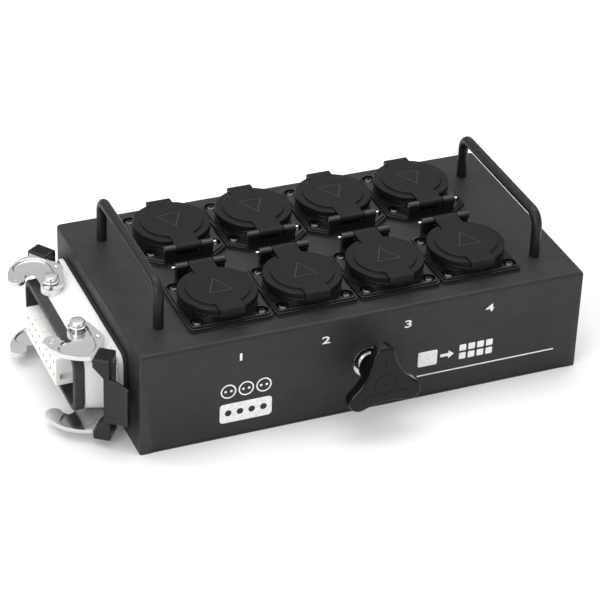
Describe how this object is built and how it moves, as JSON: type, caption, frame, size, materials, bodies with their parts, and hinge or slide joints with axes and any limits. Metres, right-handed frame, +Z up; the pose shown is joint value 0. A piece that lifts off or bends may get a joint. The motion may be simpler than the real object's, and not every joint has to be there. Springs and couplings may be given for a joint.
{
  "type": "portable power distribution box",
  "caption": "Low sheet-steel power distribution box with flap-covered round sockets on top, bar handles, a multipole inlet with two locking levers and a clamp knob.",
  "frame": {"origin": "middle of the box's underside", "axes": "+X along the box, away from the inlet end; +Y from the clamp knob's side to the back; +Z up"},
  "size_m": [0.3097, 0.178, 0.0943],
  "materials": {
    "powder_coat": "fine matte black powder coat",
    "rod_coat": "satin black coat",
    "socket_plastic": "dark grey glass-filled plastic",
    "lid_plastic": "matte dark grey plastic",
    "gasket_rubber": "matte",
    "seal_rubber": "matte",
    "bright_steel": "bright nickel plated",
    "lever_steel": "satin stainless",
    "die_cast": "light grey powder coated die casting",
    "insert_plastic": "pale grey-beige, satin",
    "grip_plastic": "dark grey, satin",
    "knob_plastic": "black, satin front and glossy sides",
    "brass": "plain",
    "wire_jacket": "braided sleeve"
  },
  "bodies": {
    "box": {"enclosure_cover": "powder_coat", "base_plate": "powder_coat", "handle_left": "rod_coat", "handle_right": "rod_coat", "inlet_housing": "die_cast", "inlet_flange_gasket": "gasket_rubber", "inlet_rim_seal": "seal_rubber", "inlet_insert": "insert_plastic", "back_lever_pivot_top": "bright_steel", "back_lever_pivot_bottom": "bright_steel", "front_lever_pivot_top": "bright_steel", "front_lever_pivot_bottom": "bright_steel", "clamp_stud": "bright_steel", "clamp_washer": "bright_steel", "earth_stud": "bright_steel", "wiring_loom": "wire_jacket", "inlet_screw_1": "bright_steel", "inlet_screw_2": "bright_steel", "inlet_screw_3": "bright_steel", "inlet_screw_4": "bright_steel", "socket_1": "socket_plastic", "socket_gasket_1": "gasket_rubber", "lid_pin_1": "bright_steel", "socket_2": "socket_plastic", "socket_gasket_2": "gasket_rubber", "lid_pin_2": "bright_steel", "socket_3": "socket_plastic", "socket_gasket_3": "gasket_rubber", "lid_pin_3": "bright_steel", "socket_4": "socket_plastic", "socket_gasket_4": "gasket_rubber", "lid_pin_4": "bright_steel", "socket_5": "socket_plastic", "socket_gasket_5": "gasket_rubber", "lid_pin_5": "bright_steel", "socket_6": "socket_plastic", "socket_gasket_6": "gasket_rubber", "lid_pin_6": "bright_steel", "socket_7": "socket_plastic", "socket_gasket_7": "gasket_rubber", "lid_pin_7": "bright_steel", "socket_8": "socket_plastic", "socket_gasket_8": "gasket_rubber", "lid_pin_8": "bright_steel"},
    "lid_1": {"socket_lid_1": "lid_plastic"},
    "lid_2": {"socket_lid_2": "lid_plastic"},
    "lid_3": {"socket_lid_3": "lid_plastic"},
    "lid_4": {"socket_lid_4": "lid_plastic"},
    "lid_5": {"socket_lid_5": "lid_plastic"},
    "lid_6": {"socket_lid_6": "lid_plastic"},
    "lid_7": {"socket_lid_7": "lid_plastic"},
    "lid_8": {"socket_lid_8": "lid_plastic"},
    "back_lever": {"back_lever_plate_top": "lever_steel", "back_lever_plate_bottom": "lever_steel", "back_lever_grip": "grip_plastic"},
    "front_lever": {"front_lever_plate_top": "lever_steel", "front_lever_plate_bottom": "lever_steel", "front_lever_grip": "grip_plastic"},
    "knob_insert": {"knob_nut": "brass"},
    "knob": {"clamp_knob": "knob_plastic"}
  },
  "joints": [
    {"name": "lid_1_hinge", "type": "hinge", "parent": "box", "child": "lid_1", "pos_m": [-0.07605, -0.0089, 0.0742], "axis": [-1, 0, 0], "range_deg": [0, 95], "stiffness_Nm_per_rad": 0.03, "springref_deg": -34.38},
    {"name": "lid_2_hinge", "type": "hinge", "parent": "box", "child": "lid_2", "pos_m": [-0.02535, -0.0089, 0.0742], "axis": [-1, 0, 0], "range_deg": [0, 95], "stiffness_Nm_per_rad": 0.03, "springref_deg": -34.38},
    {"name": "lid_3_hinge", "type": "hinge", "parent": "box", "child": "lid_3", "pos_m": [0.02535, -0.0089, 0.0742], "axis": [-1, 0, 0], "range_deg": [0, 95], "stiffness_Nm_per_rad": 0.03, "springref_deg": -34.38},
    {"name": "lid_4_hinge", "type": "hinge", "parent": "box", "child": "lid_4", "pos_m": [0.07605, -0.0089, 0.0742], "axis": [-1, 0, 0], "range_deg": [0, 95], "stiffness_Nm_per_rad": 0.03, "springref_deg": -34.38},
    {"name": "lid_5_hinge", "type": "hinge", "parent": "box", "child": "lid_5", "pos_m": [-0.07605, 0.0106, 0.0742], "axis": [1, 0, 0], "range_deg": [0, 95], "stiffness_Nm_per_rad": 0.03, "springref_deg": -34.38},
    {"name": "lid_6_hinge", "type": "hinge", "parent": "box", "child": "lid_6", "pos_m": [-0.02535, 0.0106, 0.0742], "axis": [1, 0, 0], "range_deg": [0, 95], "stiffness_Nm_per_rad": 0.03, "springref_deg": -34.38},
    {"name": "lid_7_hinge", "type": "hinge", "parent": "box", "child": "lid_7", "pos_m": [0.02535, 0.0106, 0.0742], "axis": [1, 0, 0], "range_deg": [0, 95], "stiffness_Nm_per_rad": 0.03, "springref_deg": -34.38},
    {"name": "lid_8_hinge", "type": "hinge", "parent": "box", "child": "lid_8", "pos_m": [0.07605, 0.0106, 0.0742], "axis": [1, 0, 0], "range_deg": [0, 95], "stiffness_Nm_per_rad": 0.03, "springref_deg": -34.38},
    {"name": "back_lever_pivot", "type": "hinge", "parent": "box", "child": "back_lever", "pos_m": [-0.1529, 0.02705, 0.0313], "axis": [0, 0, 1], "range_deg": [0, 42]},
    {"name": "front_lever_pivot", "type": "hinge", "parent": "box", "child": "front_lever", "pos_m": [-0.1529, -0.02245, 0.0313], "axis": [0, 0, -1], "range_deg": [0, 42]},
    {"name": "knob_travel", "type": "slide", "parent": "box", "child": "knob_insert", "axis": [0, -1, 0], "range_m": [-0.0019, 0.0063]},
    {"name": "knob_turn", "type": "hinge", "parent": "knob_insert", "child": "knob", "pos_m": [0.0005, -0.075, 0.0334], "axis": [0, -1, 0], "range_deg": [-540, 1800]}
  ],
  "couplings": [
    {"joint": "knob_travel", "follows": "knob_turn", "m_per_rad": 0.00019894}
  ]
}
